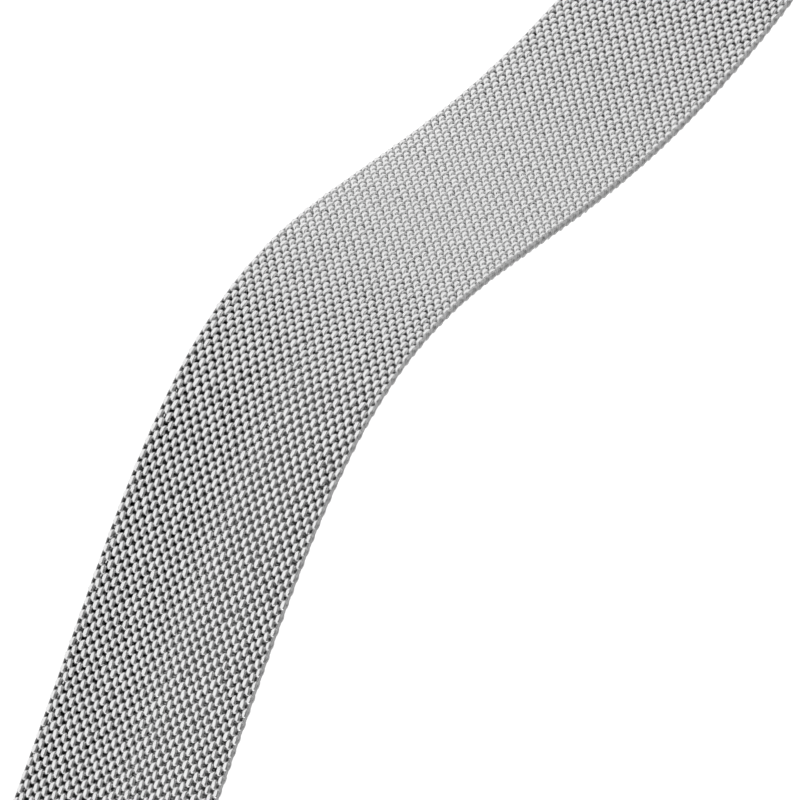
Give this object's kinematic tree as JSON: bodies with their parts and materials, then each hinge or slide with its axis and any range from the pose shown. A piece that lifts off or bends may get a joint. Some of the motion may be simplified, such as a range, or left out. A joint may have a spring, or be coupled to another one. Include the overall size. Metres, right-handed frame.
{
  "type": "milanese watch strap",
  "caption": "Steel milanese mesh watch strap with quick-release spring bars, a sliding closing loop and a magnetic end tab.",
  "frame": {"origin": "under the middle of the strap's box, on the surface that it stands on", "axes": "+Z across the strap's width, +X along its longest reach towards the lug end bar, -Y towards the outer side that the picture shows"},
  "size_m": [0.1774, 0.103, 0.0224],
  "materials": {
    "mesh_wire": "polished flattened wire",
    "polished_steel": "polished",
    "brushed_steel": "fine brushed",
    "spring_steel": "drawn wire",
    "magnet_plating": "nickel plated",
    "keeper_steel": "stamped"
  },
  "bodies": {
    "mesh_01": {"mesh_section_01": "mesh_wire", "lug_end_bar": "polished_steel", "lug_bar_tube": "brushed_steel", "lug_fixed_tip": "brushed_steel", "lug_bar_spring": "spring_steel"},
    "mesh_02": {"mesh_section_02": "mesh_wire"},
    "mesh_03": {"mesh_section_03": "mesh_wire"},
    "mesh_04": {"mesh_section_04": "mesh_wire"},
    "mesh_05": {"mesh_section_05": "mesh_wire"},
    "mesh_06": {"mesh_section_06": "mesh_wire"},
    "mesh_07": {"mesh_section_07": "mesh_wire"},
    "mesh_08": {"mesh_section_08": "mesh_wire"},
    "mesh_09": {"mesh_section_09": "mesh_wire"},
    "mesh_10": {"mesh_section_10": "mesh_wire"},
    "mesh_11": {"mesh_section_11": "mesh_wire"},
    "mesh_12": {"mesh_section_12": "mesh_wire"},
    "mesh_13": {"mesh_section_13": "mesh_wire"},
    "mesh_14": {"mesh_section_14": "mesh_wire"},
    "mesh_15": {"mesh_section_15": "mesh_wire"},
    "mesh_16": {"mesh_section_16": "mesh_wire"},
    "mesh_17": {"mesh_section_17": "mesh_wire"},
    "mesh_18": {"mesh_section_18": "mesh_wire"},
    "mesh_19": {"mesh_section_19": "mesh_wire"},
    "mesh_20": {"mesh_section_20": "mesh_wire"},
    "mesh_21": {"mesh_section_21": "mesh_wire"},
    "mesh_22": {"mesh_section_22": "mesh_wire"},
    "mesh_23": {"mesh_section_23": "mesh_wire"},
    "mesh_24": {"mesh_section_24": "mesh_wire", "tab_shell": "polished_steel", "tab_cover": "brushed_steel", "tab_magnets": "magnet_plating", "tab_keeper_plate": "keeper_steel"},
    "lug_release": {"lug_release_tip": "polished_steel"},
    "loop": {"loop_frame": "polished_steel", "loop_pin": "polished_steel"},
    "link": {"loop_link": "polished_steel", "link_bar_tube": "brushed_steel", "link_fixed_tip": "brushed_steel", "link_bar_spring": "spring_steel"},
    "link_release": {"link_release_tip": "polished_steel"}
  },
  "joints": [
    {"name": "mesh_bend_01", "type": "hinge", "parent": "mesh_01", "child": "mesh_02", "pos_m": [0.07436, -0.04362, 0.0012], "axis": [0, 0, -1], "range_deg": [-34.5, 35.5]},
    {"name": "mesh_bend_02", "type": "hinge", "parent": "mesh_02", "child": "mesh_03", "pos_m": [0.06588, -0.04466, 0.0012], "axis": [0, 0, -1], "range_deg": [-34.5, 35.5]},
    {"name": "mesh_bend_03", "type": "hinge", "parent": "mesh_03", "child": "mesh_04", "pos_m": [0.05741, -0.04578, 0.0012], "axis": [0, 0, -1], "range_deg": [-34.9, 35.1]},
    {"name": "mesh_bend_04", "type": "hinge", "parent": "mesh_04", "child": "mesh_05", "pos_m": [0.04894, -0.04691, 0.0012], "axis": [0, 0, 1], "range_deg": [-36.1, 33.9]},
    {"name": "mesh_bend_05", "type": "hinge", "parent": "mesh_05", "child": "mesh_06", "pos_m": [0.0405, -0.0482, 0.0012], "axis": [0, 0, 1], "range_deg": [-35.6, 34.4]},
    {"name": "mesh_bend_06", "type": "hinge", "parent": "mesh_06", "child": "mesh_07", "pos_m": [0.03206, -0.04958, 0.0012], "axis": [0, 0, 1], "range_deg": [-33.2, 36.8]},
    {"name": "mesh_bend_07", "type": "hinge", "parent": "mesh_07", "child": "mesh_08", "pos_m": [0.02359, -0.0507, 0.0012], "axis": [0, 0, -1], "range_deg": [-41, 29]},
    {"name": "mesh_bend_08", "type": "hinge", "parent": "mesh_08", "child": "mesh_09", "pos_m": [0.01505, -0.05092, 0.0012], "axis": [0, 0, -1], "range_deg": [-47.5, 22.5]},
    {"name": "mesh_bend_09", "type": "hinge", "parent": "mesh_09", "child": "mesh_10", "pos_m": [0.00666, -0.04929, 0.0012], "axis": [0, 0, -1], "range_deg": [-53.3, 16.7]},
    {"name": "mesh_bend_10", "type": "hinge", "parent": "mesh_10", "child": "mesh_11", "pos_m": [-0.00079, -0.04511, 0.0012], "axis": [0, 0, 1], "range_deg": [-17.4, 52.6]},
    {"name": "mesh_bend_11", "type": "hinge", "parent": "mesh_11", "child": "mesh_12", "pos_m": [-0.00662, -0.03887, 0.0012], "axis": [0, 0, 1], "range_deg": [-24.3, 45.7]},
    {"name": "mesh_bend_12", "type": "hinge", "parent": "mesh_12", "child": "mesh_13", "pos_m": [-0.0112, -0.03166, 0.0012], "axis": [0, 0, 1], "range_deg": [-30.3, 39.7]},
    {"name": "mesh_bend_13", "type": "hinge", "parent": "mesh_13", "child": "mesh_14", "pos_m": [-0.01517, -0.02409, 0.0012], "axis": [0, 0, -1], "range_deg": [-35.9, 34.1]},
    {"name": "mesh_bend_14", "type": "hinge", "parent": "mesh_14", "child": "mesh_15", "pos_m": [-0.01903, -0.01647, 0.0012], "axis": [0, 0, -1], "range_deg": [-33.9, 36.1]},
    {"name": "mesh_bend_15", "type": "hinge", "parent": "mesh_15", "child": "mesh_16", "pos_m": [-0.02302, -0.00892, 0.0012], "axis": [0, 0, -1], "range_deg": [-32.6, 37.4]},
    {"name": "mesh_bend_16", "type": "hinge", "parent": "mesh_16", "child": "mesh_17", "pos_m": [-0.02733, -0.00154, 0.0012], "axis": [0, 0, 1], "range_deg": [-39, 31]},
    {"name": "mesh_bend_17", "type": "hinge", "parent": "mesh_17", "child": "mesh_18", "pos_m": [-0.03215, 0.00552, 0.0012], "axis": [0, 0, 1], "range_deg": [-39.5, 30.5]},
    {"name": "mesh_bend_18", "type": "hinge", "parent": "mesh_18", "child": "mesh_19", "pos_m": [-0.0375, 0.01218, 0.0012], "axis": [0, 0, 1], "range_deg": [-38.9, 31.1]},
    {"name": "mesh_bend_19", "type": "hinge", "parent": "mesh_19", "child": "mesh_20", "pos_m": [-0.0433, 0.01846, 0.0012], "axis": [0, 0, -1], "range_deg": [-29.9, 40.1]},
    {"name": "mesh_bend_20", "type": "hinge", "parent": "mesh_20", "child": "mesh_21", "pos_m": [-0.04963, 0.0242, 0.0012], "axis": [0, 0, -1], "range_deg": [-30.4, 39.6]},
    {"name": "mesh_bend_21", "type": "hinge", "parent": "mesh_21", "child": "mesh_22", "pos_m": [-0.0564, 0.02941, 0.0012], "axis": [0, 0, -1], "range_deg": [-32, 38]},
    {"name": "mesh_bend_22", "type": "hinge", "parent": "mesh_22", "child": "mesh_23", "pos_m": [-0.06343, 0.03426, 0.0012], "axis": [0, 0, 1], "range_deg": [-36, 34]},
    {"name": "mesh_bend_23", "type": "hinge", "parent": "mesh_23", "child": "mesh_24", "pos_m": [-0.07055, 0.03899, 0.0012], "axis": [0, 0, 1], "range_deg": [-35, 35]},
    {"name": "loop_slide", "type": "slide", "parent": "mesh_22", "child": "loop", "axis": [-0.8231, 0.5678, 0], "range_m": [-0.005, 0.001]},
    {"name": "link_swing", "type": "hinge", "parent": "loop", "child": "link", "pos_m": [-0.06027, 0.03484, 0.0012], "axis": [0, 0, 1], "range_deg": [-60, 75]},
    {"name": "lug_release", "type": "slide", "parent": "mesh_01", "child": "lug_release", "axis": [0, 0, 1], "range_m": [-0.0012, 0], "stiffness_N_per_m": 1500, "springref_m": 0.0025, "deforming": ["lug_bar_spring"]},
    {"name": "link_release", "type": "slide", "parent": "link", "child": "link_release", "axis": [0, 0, 1], "range_m": [-0.0012, 0], "stiffness_N_per_m": 1500, "springref_m": 0.0025, "deforming": ["link_bar_spring"]}
  ]
}
